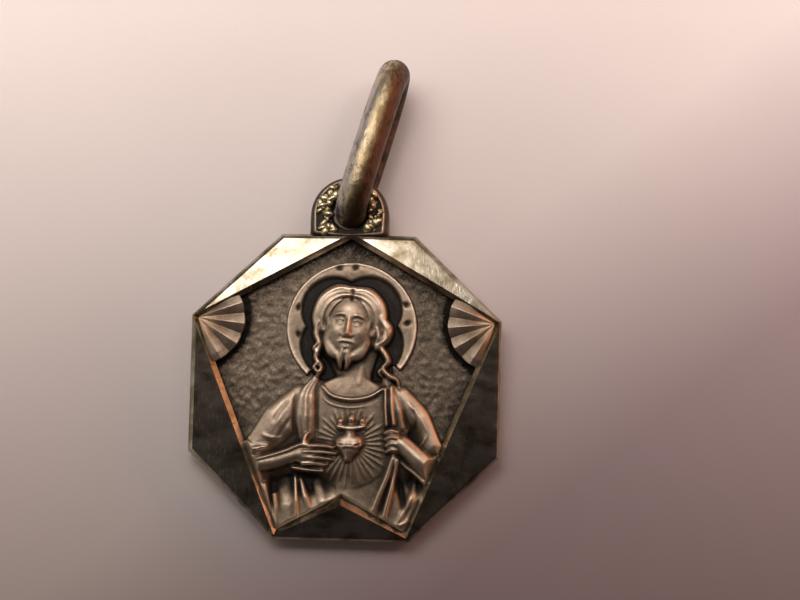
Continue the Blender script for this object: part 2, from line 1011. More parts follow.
@dataclass(frozen=True)
class Line(Drawn):
    """A fine ridge along a path, or a groove where its height is negative, faded at both ends."""

    width: Sequence[float]
    height: float
    fade: float = 0.25

    def press(self, sheet: ReliefSheet) -> None:
        """Presses the line.

        Args:
            sheet: The sheet.
        """
        line = smooth_path(self.path)
        at = sheet.window(line, max(self.width))
        distance, share = sheet.nearest(line, at)
        ends = eased(np.minimum(share, 1 - share) / self.fade)
        profile = np.clip(1 - (distance / along(self.width, share)) ** 2, 0, None) ** 2
        sheet.height[at] += self.height * profile * ends


@dataclass(frozen=True)
class Swell(Oval):
    """A soft swelling, or a soft hollow where its height is negative."""

    def press(self, sheet: ReliefSheet) -> None:
        """Presses the swelling.

        Args:
            sheet: The sheet.
        """
        at = sheet.window(np.array([self.centre]), SWELL_REACH * max(self.radii))
        sheet.height[at] += self.height * np.exp(-self.away(sheet, at))


# The plate


@dataclass
class Plate:
    """The struck octagon: a bright faceted frame round a sunk field."""

    width: float = 16.0
    height: float = 15.7
    side_flat: float = 7.0
    end_flat: float = 6.95
    field_level: float = 0.9
    pocket_floor: float = 0.78
    frame_level: float = 1.5
    facet_fall: float = math.radians(7)
    rim_bevel: float = 0.27
    inner_bevel: float = 0.27
    bevel_headroom: float = 2.0
    bevel_steps: int = 3
    back_bevel: float = 0.15
    apex_rim: float = 0.22
    apex_aside: float = 0.15
    side_corner_rim: float = 0.4
    foot_corner_rim: float = 0.6
    notch_rise: float = 1.75
    edge_wear: float = 0.03
    worn_angle: float = math.radians(15)
    upright_below: float = 0.1
    level_above: float = 0.9

    def corners(self) -> list[Vector]:
        """The octagon's corners, anticlockwise from the top right one.

        Returns:
            The eight corners.
        """
        x, y = self.width / 2, self.height / 2
        side, end = self.side_flat / 2, self.end_flat / 2
        half = [(end, y), (-end, y), (-x, side), (-x, -side)]
        return [Vector(p) for p in half] + [-Vector(p) for p in half]

    def field_corners(self) -> list[Vector]:
        """The field's corners, anticlockwise from its apex, without the notch.

        Returns:
            The five corners.
        """
        def inwards(corner: Vector, distance: float) -> Vector:
            """Moves a corner towards the middle."""
            return corner * (1 - distance / corner.length)

        corners = self.corners()
        return [
            Vector((self.apex_aside, self.height / 2 - self.apex_rim)),
            inwards(corners[2], self.side_corner_rim),
            inwards(corners[4], self.foot_corner_rim),
            inwards(corners[5], self.foot_corner_rim),
            inwards(corners[7], self.side_corner_rim),
        ]

    def notch(self) -> Vector:
        """The tip of the notch in the field's lower side."""
        return Vector((0, self.field_corners()[2].y + self.notch_rise))

    def field_outline(self) -> list[Vector]:
        """The field's corners with the notch, anticlockwise."""
        corners = self.field_corners()
        return corners[:3] + [self.notch()] + corners[3:]

    def blank(self) -> bmesh.types.BMesh:
        """Cuts the octagonal blank and its falling facets.

        Returns:
            The blank, without its field.
        """
        shape = bmesh.new()
        bmesh.ops.create_cube(shape, size=1)
        thick = 2 * self.frame_level
        bmesh.ops.scale(shape, vec=(self.width, self.height, thick), verts=shape.verts)
        bmesh.ops.translate(shape, vec=(0, 0, thick / 2), verts=shape.verts)
        corners = self.corners()
        for here, there in zip(corners[1::2], corners[2::2] + corners[:1]):
            side = there - here
            slice_off(shape, here.to_3d(), Vector((side.y, -side.x, 0)))
        field_corners = self.field_corners()
        for here, there in zip(field_corners, field_corners[1:] + field_corners[:1]):
            side = (there - here).normalized()
            slope = Vector((side.y, -side.x, 0)) * math.sin(self.facet_fall)
            slope.z = math.cos(self.facet_fall)
            slice_off(shape, Vector((*here, self.frame_level)), slope)
        self.bevel_between(shape, self.rim_bevel, upper=True)
        self.bevel_between(shape, self.back_bevel, upper=False)
        return shape

    def bevel_between(self, shape: bmesh.types.BMesh, width: float, upper: bool) -> None:
        """Bevels the edges between the blank's sides and its face or its back.

        Args:
            shape: The blank.
            width: The bevel's width.
            upper: Whether the face's edges are meant.
        """
        def is_side(face: bmesh.types.BMFace) -> bool:
            """Whether a face stands upright."""
            return abs(face.normal.z) < self.upright_below

        def is_end(face: bmesh.types.BMFace) -> bool:
            """Whether a face belongs to the end that is meant."""
            return (face.normal.z if upper else -face.normal.z) > self.level_above

        chosen = []
        for edge in shape.edges:
            a, b = edge.link_faces
            if (is_side(a) and is_end(b)) or (is_side(b) and is_end(a)):
                chosen.append(edge)
        bmesh.ops.bevel(shape, geom=chosen, offset=width, offset_type="OFFSET", segments=self.bevel_steps,
                        profile=0.5, affect="EDGES", material=-1)

    def grown_outline(self, distance: float) -> list[Vector]:
        """The field's outline moved outwards by a distance on every side.

        Args:
            distance: The distance.

        Returns:
            The moved corners, in the same order.
        """
        outline = self.field_outline()
        grown = []
        for before, here, after in zip(outline[-1:] + outline[:-1], outline, outline[1:] + outline[:1]):
            first, second = (here - before).normalized(), (after - here).normalized()
            outwards = Vector((first.y + second.y, -first.x - second.x))
            grown.append(here + outwards * distance / (1 + first.dot(second)))
        return grown

    def pocket(self) -> bmesh.types.BMesh:
        """The block that the field's pocket is cut with.

        Returns:
            The block, upright below, and flared above its waist for the bright inner bevel.
        """
        shape = bmesh.new()
        outline = self.field_outline()
        floor = shape.faces.new([shape.verts.new((*p, self.pocket_floor)) for p in outline])
        waist = self.frame_level - self.inner_bevel
        grown = self.grown_outline(self.bevel_headroom)
        top = floor
        for level, places in ((waist, outline), (waist + self.bevel_headroom, grown)):
            raised = bmesh.ops.extrude_face_region(shape, geom=[top])["geom"]
            if top is not floor:
                bmesh.ops.delete(shape, geom=[top], context="FACES_ONLY")
            top = next(item for item in raised if isinstance(item, bmesh.types.BMFace))
            for vert in top.verts:
                nearest = min(range(len(outline)), key=lambda k: (vert.co.xy - outline[k]).length)
                vert.co = (*places[nearest], level)
        bmesh.ops.recalc_face_normals(shape, faces=shape.faces)
        return shape

    def build(self, bench: Bench, finish: bpy.types.Material) -> None:
        """Builds the plate.

        Args:
            bench: The bench.
            finish: The frame's material.
        """
        shape = subtract(self.blank(), self.pocket())
        piece = bench.set_down(shape, "faceted_frame", finish, Slot.SILVER, smooth=False)
        worn = piece.modifiers.new("worn_edges", "BEVEL")
        worn.width = self.edge_wear * MM
        worn.segments = 2
        worn.limit_method = "ANGLE"
        worn.angle_limit = self.worn_angle
        worn.harden_normals = True


def slice_off(shape: bmesh.types.BMesh, point: Vector, normal: Vector) -> None:
    """Cuts away what lies beyond a plane, and closes the cut.

    Args:
        shape: A closed convex shape.
        point: A point of the plane.
        normal: The plane's normal, towards what goes.
    """
    everything = [*shape.verts, *shape.edges, *shape.faces]
    cut = bmesh.ops.bisect_plane(shape, geom=everything, dist=TINY, plane_co=point, plane_no=normal,
                                 clear_outer=True)
    rim = [item for item in cut["geom_cut"] if isinstance(item, bmesh.types.BMEdge)]
    bmesh.ops.contextual_create(shape, geom=rim)
    bmesh.ops.recalc_face_normals(shape, faces=shape.faces)


def subtract(body: bmesh.types.BMesh, cutter: bmesh.types.BMesh) -> bmesh.types.BMesh:
    """Cuts one shape out of another. Both are used up.

    Args:
        body: The shape that stays.
        cutter: The shape that is cut away.

    Returns:
        What is left.
    """
    holder, tool = cast(body, "body"), cast(cutter, "cutter")
    cut = holder.modifiers.new("cut", "BOOLEAN")
    cut.object = tool
    cut.operation = "DIFFERENCE"
    cut.solver = "EXACT"
    bpy.context.view_layer.update()
    result = bmesh.new()
    result.from_object(holder, bpy.context.evaluated_depsgraph_get())
    for used in (holder, tool):
        bpy.data.meshes.remove(used.data)
    result.normal_update()
    return result


@dataclass
class Ground:
    """The field's stippled ground, dirtiest under the walls and by the shells."""

    plate: Plate
    pitch: float = 0.06
    grain: float = 0.011
    overlap: float = 0.08
    lift: float = 0.01
    slab: float = 0.2
    seed: int = 7
    to_the_right: float = 0.07
    wall_dirt: float = 0.3
    upper_wall_reach: float = 0.8
    side_wall_reach: float = 0.35
    shell_dirt: float = 0.6
    shell_reach: float = 0.3

    def build(self, bench: Bench, finish: bpy.types.Material) -> None:
        """Builds the ground as a thin closed slab whose edge is hidden in the frame.

        Args:
            bench: The bench.
            finish: The ground's material.
        """
        plate = self.plate
        half_width, half_height = plate.width / 2, plate.height / 2
        sheet = ReliefSheet(-half_width, half_width, -half_height, half_height, self.pitch)
        rng = np.random.default_rng(self.seed)
        fine = soft_average(rng.standard_normal(sheet.height.shape), 1)
        stipple = fine / fine.std() * self.grain
        outline = closed_line(plate.field_corners())
        inwards = sheet.inwards(outline)
        sheet.height = np.where(inwards > -self.overlap, self.lift + stipple, SUNK)
        shape = sheet.shape(plate.field_level, self.slab, tarnish=self.tarnish(sheet, outline))
        bench.set_down(shape, "stippled_field", finish, Slot.SILVER)

    def tarnish(self, sheet: ReliefSheet, outline: np.ndarray) -> np.ndarray:
        """How much darker the ground is at each point.

        Args:
            sheet: The ground's sheet.
            outline: The field's outline, from its apex anticlockwise.

        Returns:
            What is taken from how rubbed the ground is.
        """
        total = self.to_the_right * (sheet.grid_x / self.plate.width + 0.5)
        uppers = [(wall, self.upper_wall_reach) for wall in (outline[:2], outline[-2:])]
        sides = [(wall, self.side_wall_reach) for wall in (outline[1:3], outline[3:5])]
        for wall, reach in uppers + sides:
            distance, _ = sheet.nearest(wall)
            total = total + self.wall_dirt * np.exp(-np.abs(distance) / reach)
        for corner in (outline[1], outline[4]):
            from_shell = np.hypot(sheet.grid_x - corner[0], sheet.grid_y - corner[1]) - Shell.radius
            total = total + self.shell_dirt * np.exp(-(from_shell / self.shell_reach) ** 2)
        return total


@dataclass
class Shell:
    """A fan of flutes in a side corner of the field."""

    name: str
    corner: Vector
    first: Vector
    last: Vector
    plate: Plate
    radius: float = 2.4
    flutes: int = 4
    crest: float = 0.62
    valley: float = 0.42
    hinge: float = 0.18
    flute_growth: float = 2.2
    lip: float = 0.85
    lip_fall: float = 0.12
    scallop: float = 0.05
    spread: float = math.radians(5)
    root: float = 0.1
    rings: int = 34
    rays: int = 128
    first_ring: float = 0.02
    valley_polish: float = 0.56
    crest_polish: float = 0.25
    hinge_polish: float = 0.4

    def wave(self, turn: float) -> float:
        """How far a share of the fan's sweep is from a crest: 0 on it, 1 in a valley."""
        return abs((turn * self.flutes) % 1 * 2 - 1)

    def height(self, turn: float, out: float) -> float:
        """The shell's height above the field.

        Args:
            turn: Share of the fan's sweep.
            out: Share of the way from the hinge to the edge.

        Returns:
            The height.
        """
        crown = 1 - self.lip_fall * max(0.0, out - self.lip) / (1 - self.lip)
        flute = (1 - self.wave(turn)) * min(1.0, out * self.flute_growth)
        return (self.valley + (self.crest - self.valley) * flute + self.hinge * (1 - out)) * crown

    def build(self, bench: Bench, finish: bpy.types.Material) -> None:
        """Builds the shell from a grid bent into a fan.

        Args:
            bench: The bench.
            finish: The relief's material.
        """
        start = math.atan2(self.first.y - self.corner.y, self.first.x - self.corner.x) - self.spread
        end = math.atan2(self.last.y - self.corner.y, self.last.x - self.corner.x) + self.spread
        sweep = (end - start) % (2 * math.pi)
        level = self.plate.field_level
        shape, polish = start_grid(self.rays, self.rings)
        for vert in shape.verts:
            turn = vert.co.x + 0.5
            out = self.first_ring + (1 - self.first_ring) * (vert.co.y + 0.5)
            wave = self.wave(turn)
            radius = out * (self.radius - self.scallop * wave ** 2)
            angle = start + sweep * turn
            by_hinge = max(0.0, 1 - self.flute_growth * out)
            vert[polish] = self.valley_polish + self.crest_polish * (1 - wave) + self.hinge_polish * by_hinge
            x = self.corner.x + radius * math.cos(angle)
            y = self.corner.y + radius * math.sin(angle)
            vert.co = (x, y, level + self.height(turn, out))
        close_downwards(shape, level - self.root)
        bench.set_down(shape, self.name, finish, Slot.SILVER)


# The figure, in millimetres of the medal: strokes as path, half width, top; ovals as centre, radii, height

BODY = [
    Panel([(-1.3, .3), (-2.0, 0), (-2.6, -.5), (-3.2, -1.05), (-3.7, -1.7), (-4.15, -2.35), (-4.7, -2.95),
           (-5.2, -3.6), (-5.2, -5), (-5, -6.5), (-4.5, -8.5), (4.5, -8.5), (5.2, -6), (5.5, -4),
           (5.2, -3.6), (4.8, -3), (4.35, -2.05), (4, -1.35), (3.5, -.8), (3, -.35), (2.5, .1), (1.4, .3)],
          .8, .5, .35),
    Dome((.3, -2.3), (2.5, 2.9), .66, edge=.6, blend=.2),
    Limb([(-2.2, -.7), (-3.15, -1.75), (-4.2, -3)], [.75, 1, .75], [.62, .8, .72], .45, .2),
    Swell((-2.95, -2), (.2, .75), -.08, -32),
    Line([(-2.55, -1.3), (-3.1, -2.1), (-3.6, -2.9)], [.16], .04),
    Tress([(-1.5, .35), (-1.85, -.4), (-1.95, -1.4), (-1.85, -2.6)], [.2, .42, .5, .42],
          [.46, .76, .82, .76], .7, .14, 2.6, .06, .12),
    Line([(-1.38, .1), (-1.36, -1.2), (-1.3, -2.6)], [.12], -.08, .15),
    Line([(-2.46, -.35), (-2.52, -1.4), (-2.5, -2.6)], [.13], -.1, .2),
    Limb([(2.9, -.5), (3.7, -1.5), (4.5, -2.9)], [.55, .7, .55], [.64, .78, .74], .45, .2),
    Tress([(2.1, .3), (2.5, -.3), (2.8, -1.1), (3.1, -2)], [.2, .45, .6, .5], [.46, .72, .8, .76], .5, .12,
          2.4, .08, .1),
    Line([(3.2, -.65), (3.85, -1.5), (4.35, -2.5)], [.14], .06),
    Line([(-2.75, -.75), (-3.2, -1.3), (-3.6, -2)], [.2], -.05),
    Line([(-4.2, -2.45), (-3.7, -2.72), (-2.9, -2.75)], [.16], .05),
    Line([(3.5, -1), (3.75, -1.7), (3.6, -2.3)], [.12], -.08),
    Line([(4.3, -2.3), (4, -2.9), (3.4, -3)], [.12], .08),
    Swell((3.7, -2.3), (.4, .65), -.3, 30),
    Swell((3.15, -1.5), (.14, .7), -.12, 18),
]

SKIRTS = [
    Swell((-2.2, -4.95), (1.6, .5), -.6),
    Swell((-1.2, -5.3), (.9, .5), -.14),
    Swell((-3.4, -5.9), (.5, .6), -.1),
    Swell((-3.45, -5.6), (.2, .7), -.4, 8),
    Tress([(-4.6, -4), (-4.4, -5.2), (-4, -6.4), (-3.65, -7.6)], [.36, .38, .34, .3], [.8, .78, .72, .66],
          .45, .1, 2.4, .08, .2),
    Limb([(-3.9, -5.1), (-3.8, -5.8), (-3.6, -6.5)], [.14, .18, .14], [.58, .62, .56], .3, .1),
    Limb([(-3.4, -5.6), (-3.3, -6.2), (-3.2, -7)], [.16, .18, .16], [.52, .56, .52], .3, .1),
    Limb([(-2.85, -5), (-2.75, -6.1), (-2.6, -7.2)], [.3, .38, .36], [.16, .56, .58], .5, .12),
    Limb([(-2.38, -4.7), (-2.28, -5.8), (-2.2, -7)], [.12, .15, .14], [.36, .66, .62], .35),
    Limb([(-2.1, -4.8), (-1.8, -5.7), (-1.45, -6.5)], [.14, .2, .16], [.26, .62, .58], .35, .08),
    Limb([(-1.25, -5), (-.9, -6), (-.5, -6.6)], [.26, .34, .3], [.2, .52, .52], .5, .12),
    Limb([(.2, -5), (.3, -5.8)], [.5, .5], [.5, .52], .7, .15),
    Limb([(2.6, -3.6), (2.3, -4.6), (1.85, -5.7), (1.45, -6.9)], [.2, .2, .2, .18], [.8, .76, .7, .62], .4),
    Limb([(2.8, -3.7), (2.6, -4.9), (2.35, -6), (2.1, -7.2)], [.2, .2, .2, .18], [.82, .78, .72, .64], .35),
    Line([(2.72, -3.8), (2.45, -4.9), (2.1, -6), (1.8, -7)], [.08], -.14, .1),
    Limb([(3.75, -4.55), (3.6, -5.5), (3.15, -6.4), (2.75, -7.2)], [.22, .26, .22, .18],
         [.62, .66, .62, .56], .35, .1),
    Swell((3.55, -4.85), (.55, .5), -.4, 12),
    Swell((3.05, -5.4), (.2, .9), -.32, 14),
    Swell((4.1, -5.2), (.3, .6), -.25, 16),
    Limb([(3.35, -6.8), (3, -7), (2.7, -7.15)], [.16, .18, .14], [.55, .6, .55], .3),
]

COLLAR = [
    Limb([(-1.1, -.05), (-.6, -.5), (.35, -.68), (1.3, -.52), (2, -.1)], [.1, .12, .13, .12, .1],
         [.66, .74, .78, .76, .7], .6, .05),
    Line([(-1.1, -.3), (-.6, -.72), (.35, -.9), (1.35, -.74), (2, -.35)], [.09], -.08, .15),
    Line([(-1.2, -.5), (-.6, -.95), (.35, -1.1), (1.35, -.95)], [.08], .05, .2),
]

OPEN_ARM = [
    Tress([(-4.85, -3.15), (-4.4, -3.3), (-3.9, -3.15)], [.3, .36, .3], [.84, .9, .8], .4, .1, 2.4, .08,
          .1),
    Limb([(-4.8, -4.05), (-3.6, -3.9), (-2.3, -3.5)], [.42, .46, .42], [.82, .88, .9], .45, .06),
    Limb([(-4.45, -3.85), (-3, -3.42), (-2.15, -3.05), (-1.8, -2.95)], [.1, .12, .14, .14],
         [.92, .96, 1, 1], .5, .1),
    Dome((-1.9, -3.5), (.72, .55), .94, -8, .5, .1),
    Limb([(-1.95, -3), (-1.9, -2.65), (-1.72, -2.4)], [.17, .15, .1], [.98, .96, .88], .5),
    Limb([(-2, -3.08), (-1.1, -3.06), (-.4, -3.14)], [.14, .14, .09], [1.02, 1.04, .94], .4, .02),
    Limb([(-1.95, -3.38), (-1.1, -3.36), (-.25, -3.44)], [.14, .14, .09], [1, 1.02, .9], .4, .02),
    Limb([(-1.95, -3.68), (-1.15, -3.66), (-.45, -3.76)], [.14, .14, .09], [.95, .96, .84], .4, .02),
    Limb([(-2, -3.97), (-1.25, -3.96), (-.8, -4.04)], [.14, .13, .09], [.88, .88, .78], .4, .02),
    Limb([(-2.5, -4.2), (-1.75, -4.3), (-1, -4.36)], [.12, .12, .08], [.76, .76, .68], .4, .03),
]

CLOSED_ARM = [
    Limb([(3, -2.85), (3.8, -3.55), (4.8, -4.4)], [.55, .62, .6], [.96, 1.04, 1], .1, .1),
    Line([(3.1, -2.35), (3.6, -2.85), (4.3, -3.5), (4.8, -3.95)], [.12], .05),
    Limb([(2.75, -3.55), (3.15, -3.95), (3.75, -4.4), (4.4, -5)], [.12], [.6, .64, .64, .6], .5, .1),
    Limb([(2.12, -.1), (2.16, -1.1), (2.24, -2)], [.09, .1, .09], [.82, .88, .88], .5, .03),
    Limb([(2.42, 0), (2.48, -1), (2.6, -1.9)], [.12, .13, .12], [.84, .9, .92], .5, .03),
    Swell((2.31, -2.15), (.12, .14), -.3),
    Dome((2.62, -2.8), (.46, .74), .9, 8, .55, .08),
    Limb([(2.16, -2.36), (2.42, -2.22), (2.8, -2.3)], [.12, .15, .12], [.9, 1, .92], .45, .02),
    Limb([(2.18, -2.68), (2.44, -2.54), (2.82, -2.6)], [.12, .15, .12], [.92, 1.02, .94], .45, .02),
    Limb([(2.22, -3), (2.46, -2.87), (2.82, -2.92)], [.12, .15, .12], [.9, 1, .92], .45, .02),
    Limb([(2.26, -3.3), (2.5, -3.18), (2.82, -3.22)], [.12, .14, .12], [.86, .96, .88], .45, .02),
]

HEART = [
    Dome((.02, -2.86), (.42, .42), .98, edge=.55, blend=.1),
    Dome((.68, -2.86), (.42, .42), .98, edge=.55, blend=.1),
    Limb([(.35, -2.9), (.34, -3.25), (.3, -3.66)], [.62, .55, .26], [1.02, 1, .9], .5, .12),
    Line([(-.38, -2.95), (-.05, -3.12), (.35, -3.02), (.75, -3.14), (1.06, -2.92)], [.09], .09, .1),
    Line([(-.36, -2.82), (0, -2.9), (.35, -3.08), (.72, -2.9), (1.06, -2.8)], [.08], .08, .1),
    Limb([(.36, -2.55), (.4, -2.3), (.42, -2.1)], [.3, .3, .34], [.9, .9, .86], .6, .08),
    Limb([(-.22, -2.06), (.42, -2.14), (1.06, -2.04)], [.15, .17, .15], [.94, .98, .94], .55, .05),
    Line([(-.22, -2.04), (.42, -2.12), (1.06, -2.02)], [.05], -.08, .1),
    Dome((-.12, -1.8), (.17, .22), .94, edge=.5, blend=.05),
    Dome((.44, -1.68), (.2, .28), .98, edge=.5, blend=.05),
    Dome((.99, -1.78), (.17, .22), .94, edge=.5, blend=.05),
    Line([(-.2, -1.95), (-.05, -1.6)], [.05], -.08, .3),
    Line([(.4, -1.9), (.5, -1.45)], [.05], -.08, .3),
    Line([(.95, -1.95), (1.08, -1.6)], [.05], -.08, .3),
]

NECK = [
    Panel([(.4, 5.2), (-.5, 5.05), (-1.2, 4.45), (-1.62, 3.6), (-1.6, 2.6), (-1.35, 1.9), (-.75, 1),
           (-.4, .4), (-.4, 0), (1.3, 0), (1.4, .6), (1.6, 1.4), (1.95, 2.2), (2.15, 3.1), (2.05, 3.9),
           (1.65, 4.6), (1.15, 5.05)], .5, .4, .5, .02),
    Limb([(.35, 1.5), (.5, .5), (.6, -.35)], [.62, .6, .85], [.5, .48, .5], .65, .12),
    Line([(.95, 1.2), (.8, .5), (.62, -.1)], [.25], .04),
    Swell((-.1, 1.15), (.9, .45), -.2),
    Limb([(-1.35, 1.7), (-1.05, .8), (-.8, -.1)], [.7, .7, .6], [.09], 1, .02),
    Limb([(1.7, 1.8), (1.9, .9), (2.1, .1)], [.6, .6, .5], [.09], 1, .02),
    Dome((.25, 3.35), (1.75, 1.8), .8, edge=.55, blend=.1),
]

# The head's own frame from here: its middle at the origin, the crown above, drawn straight and even
FACE_MIDDLE_BACK = [
    Dome((0, -.02), (1.16, 1.7), 1, edge=.6, blend=.08),
    Swell((0, .95), (.7, .4), .05),
]

FACE_SIDE = [
    Swell((.45, .33), (.25, .16), -.16),
    Swell((.62, -.2), (.28, .3), .045),
    Line([(.16, .6), (.46, .7), (.86, .54)], [.12], .07, .3),
    Swell((.45, .3), (.15, .1), .15),
    Line([(.22, .33), (.45, .44), (.7, .32)], [.06], .13, .2),
    Line([(.25, .22), (.45, .15), (.66, .22)], [.06], .07, .25),
    Line([(.25, .5), (.46, .55), (.74, .46)], [.05], -.04, .3),
    Swell((.17, -.38), (.09, .08), .1),
    Swell((.3, -.45), (.05, .06), -.06),
    Limb([(.02, -.65), (.22, -.68), (.44, -.76)], [.08, .11, .06], [1.04, 1.03, .97], .5, .08),
    Tress([(1, -.1), (.98, -.7), (.7, -1.25), (.25, -1.5)], [.12, .24, .28, .2], [.7, .8, .86, .88], .8, .2,
          5, .05, .4),
    Tress([(.1, -1.1), (.2, -1.6), (.14, -2.05)], [.3, .26, .08], [1, .96, .82], .5, .06, 3.4, .05, .3),
    Tress([(0, 2), (.8, 1.86), (1.42, 1.28), (1.68, .45), (1.6, -.2)], [.2, .36, .38, .3, .2],
          [.82, .88, .88, .82, .72], .6, .14, 7, .07, .8),
    Tress([(0, 1.72), (.6, 1.6), (1.14, 1.15), (1.4, .45), (1.32, -.25)], [.16, .28, .3, .26, .16],
          [.92, .97, .95, .88, .78], .55, .14, 6, .07, .9),
    Tress([(.5, 1.42), (.86, 1.08), (1.1, .55), (1.08, .1), (1.2, -.3)], [.04, .13, .16, .14, .08],
          [.98, .98, .93, .86, .78], .6, .12, 3.4, .06, 1.1),
    *(Line([(.06, 1.62 + .1 * k), (.5 + .07 * k, 1.46 + .1 * k), (1 + .12 * k, .98 + .08 * k),
            (1.16 + .13 * k, .3), (1.12 + .1 * k, -.2)], [.035], -.09, .15)
      for k in range(5)),
    *(Line([(.92 - .15 * k, -.5 - .13 * k), (.86 - .14 * k, -1 - .11 * k)], [.04], -.05, .3)
      for k in range(5)),
]

FACE_MIDDLE = [
    Limb([(0, .58), (0, .15), (0, -.28)], [.12, .16, .2], [1.04, 1.15, 1.26], .45, .12),
    Swell((0, -.32), (.13, .1), .05),
    Line([(0, -.5), (0, -.62)], [.06], -.04, .4),
    Line([(-.22, -.82), (0, -.84), (.22, -.82)], [.045], -.06, .25),
    Line([(-.2, -.92), (0, -.95), (.2, -.92)], [.09], .08, .3),
    Swell((0, -1.12), (.2, .05), -.04),
    Line([(0, 1.4), (0, 2.1)], [.09], -.17, .2),
]

LOCKS = [
    Tress([(-1.4, 3.3), (-1.5, 2.65), (-1.32, 2.05), (-1.5, 1.45), (-1.2, .95), (-1.4, .5)],
          [.22, .22, .18, .17, .16, .1], [.8, .78, .76, .72, .7, .6], .45, .03, 2.4, .06, .4),
    Limb([(-1.3, 2.3), (-1.6, 1.9), (-1.35, 1.55)], [.1, .13, .08], [.74, .76, .68], .4, .03),
    Limb([(-1.3, 1.25), (-1.58, .95), (-1.32, .7), (-1.2, .95)], [.09, .11, .11, .07], [.7, .74, .74, .68],
         .4, .03),
    Tress([(1.8, 3.5), (2.15, 2.95), (2, 2.4), (1.62, 2)], [.24, .3, .28, .2], [.88, .9, .86, .78], .45,
          .03, 2.6, .08, .4),
    Limb([(1.62, 3), (1.7, 2.5), (1.5, 2.1)], [.12, .15, .1], [.84, .84, .76], .4, .03),
    Tress([(1.62, 2.15), (2, 1.75), (2.2, 1.3), (1.95, .95), (2.25, .6), (2.65, .4), (2.8, .1)],
          [.15, .18, .17, .14, .14, .14, .08], [.74, .76, .74, .7, .68, .68, .6], .45, .03, 2, .06, .4),
    Limb([(1.95, 1), (1.75, .75), (1.95, .5)], [.08, .1, .06], [.62, .64, .56], .4, .03),
]


@dataclass
class Halo:
    """The halo behind the head: a raised band round four sunk lobes that meet in cusps."""

    centre: Point = (0.28, 3.03)
    radius: float = 3.42
    floor: float = 0.1
    band: float = 0.27
    crown: float = 0.05
    cusp: float = 2.25
    lobe: float = 2.9
    lobe_sweep: float = 45.0
    step: float = 0.14
    rim: float = 0.05
    rim_inset: float = 0.1
    rim_width: float = 0.08
    blend: float = 0.02
    arms: Sequence[float] = (3, 92, 180, 270)
    ends: tuple[float, float] = (-131, -41)
    pit: Swell = Swell((0, 0), (0.15, 0.09), -0.13)
    pit_turn: float = 40.0
    pits: Sequence[Point] = ((-.45, 6.1), (.4, 6.15), (-2.5, 4), (-2.45, 2.6), (3.05, 4.25), (3.15, 3.3))

    def press(self, sheet: ReliefSheet) -> None:
        """Presses the halo into the sheet.

        Args:
            sheet: The relief's sheet.
        """
        off_x, off_y = sheet.grid_x - self.centre[0], sheet.grid_y - self.centre[1]
        distance = np.hypot(off_x, off_y)
        bearing = np.degrees(np.arctan2(off_y, off_x))
        off_arm = np.min([np.abs((bearing - arm + 180) % 360 - 180) for arm in self.arms], axis=0)
        open_share = 1 - (1 - np.clip(off_arm / self.lobe_sweep, 0, 1)) ** 2
        inner = self.cusp + (self.lobe - self.cusp) * open_share
        share = (distance - inner) / (self.radius - inner)
        band = self.band - self.crown * (2 * share - 1) ** 2
        rim = self.rim * np.exp(-((distance - self.radius + self.rim_inset) / self.rim_width) ** 2)
        shown = (bearing < self.ends[0]) | (bearing > self.ends[1])
        raised = (band - self.floor) * eased((distance - inner) / self.step) + rim
        height = self.floor + np.where(shown, raised, 0)
        outside = np.minimum(-WALL_SLOPE * (distance - self.radius), SUNK)
        within = (distance < self.radius) & (shown | (distance < self.cusp))
        sheet.height = soft_maximum(sheet.height, np.where(within, height, outside), self.blend)
        for k, centre in enumerate(self.pits):
            replace(self.pit, centre=centre, turn=self.pit_turn * k).press(sheet)


@dataclass
class Rays:
    """The rays round the heart: long and short in turn, and longer below."""

    centre: Point = (0.38, -2.95)
    count: int = 34
    start: float = 0.7
    reach: float = 1.75
    every_other: float = 0.3
    below: float = 0.35
    width: Sequence[float] = (0.055, 0.0715, 0.033)
    height: float = 0.075

    def forms(self) -> Iterable[Line]:
        """Yields the rays.

        Returns:
            The rays, anticlockwise from the right.
        """
        for k in range(self.count):
            angle = 2 * math.pi * k / self.count
            length = self.reach + self.every_other * (k % 2) + self.below * max(0.0, -math.sin(angle))
            ends = [(self.centre[0] + r * math.cos(angle), self.centre[1] + r * math.sin(angle))
                    for r in (self.start, length)]
            yield Line(ends, self.width, self.height)


